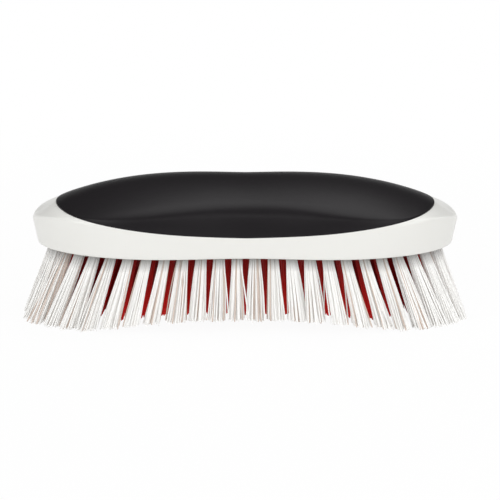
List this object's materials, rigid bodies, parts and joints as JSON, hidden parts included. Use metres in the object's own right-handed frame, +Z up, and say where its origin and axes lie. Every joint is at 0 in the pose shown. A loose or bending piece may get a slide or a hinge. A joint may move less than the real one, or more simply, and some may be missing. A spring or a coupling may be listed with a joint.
{
  "type": "scrub brush",
  "caption": "Palm-held scrub brush: boat-shaped plastic block with a domed rubber grip let into its top and splayed stiff bristle tufts below.",
  "frame": {"origin": "on the surface the bristle tips rest on, below the middle of the brush", "axes": "+X along the length of the brush, +Y across it, +Z up through the grip"},
  "size_m": [0.179, 0.0724, 0.0562],
  "materials": {
    "block_plastic": "satin moulded",
    "grip_rubber": "soft matte",
    "white_bristle": "drawn filament",
    "red_bristle": "drawn filament"
  },
  "bodies": {
    "root": {"block": "block_plastic", "grip": "grip_rubber", "white_tuft_01": "white_bristle", "white_tuft_02": "white_bristle", "white_tuft_03": "white_bristle", "white_tuft_04": "white_bristle", "white_tuft_05": "white_bristle", "white_tuft_06": "white_bristle", "white_tuft_07": "white_bristle", "white_tuft_08": "white_bristle", "white_tuft_09": "white_bristle", "white_tuft_10": "white_bristle", "white_tuft_11": "white_bristle", "white_tuft_12": "white_bristle", "white_tuft_13": "white_bristle", "white_tuft_14": "white_bristle", "white_tuft_15": "white_bristle", "white_tuft_16": "white_bristle", "white_tuft_17": "white_bristle", "white_tuft_18": "white_bristle", "white_tuft_19": "white_bristle", "white_tuft_20": "white_bristle", "white_tuft_21": "white_bristle", "white_tuft_22": "white_bristle", "white_tuft_23": "white_bristle", "white_tuft_24": "white_bristle", "white_tuft_25": "white_bristle", "white_tuft_26": "white_bristle", "white_tuft_27": "white_bristle", "white_tuft_28": "white_bristle", "white_tuft_29": "white_bristle", "white_tuft_30": "white_bristle", "white_tuft_31": "white_bristle", "white_tuft_32": "white_bristle", "white_tuft_33": "white_bristle", "white_tuft_34": "white_bristle", "white_tuft_35": "white_bristle", "white_tuft_36": "white_bristle", "white_tuft_37": "white_bristle", "white_tuft_38": "white_bristle", "white_tuft_39": "white_bristle", "white_tuft_40": "white_bristle", "white_tuft_41": "white_bristle", "white_tuft_42": "white_bristle", "white_tuft_43": "white_bristle", "white_tuft_44": "white_bristle", "white_tuft_45": "white_bristle", "white_tuft_46": "white_bristle", "white_tuft_47": "white_bristle", "white_tuft_48": "white_bristle", "white_tuft_49": "white_bristle", "white_tuft_50": "white_bristle", "red_row_1": "red_bristle", "red_row_2": "red_bristle", "red_row_3": "red_bristle", "red_row_4": "red_bristle", "red_row_5": "red_bristle", "red_row_6": "red_bristle"}
  },
  "joints": []
}
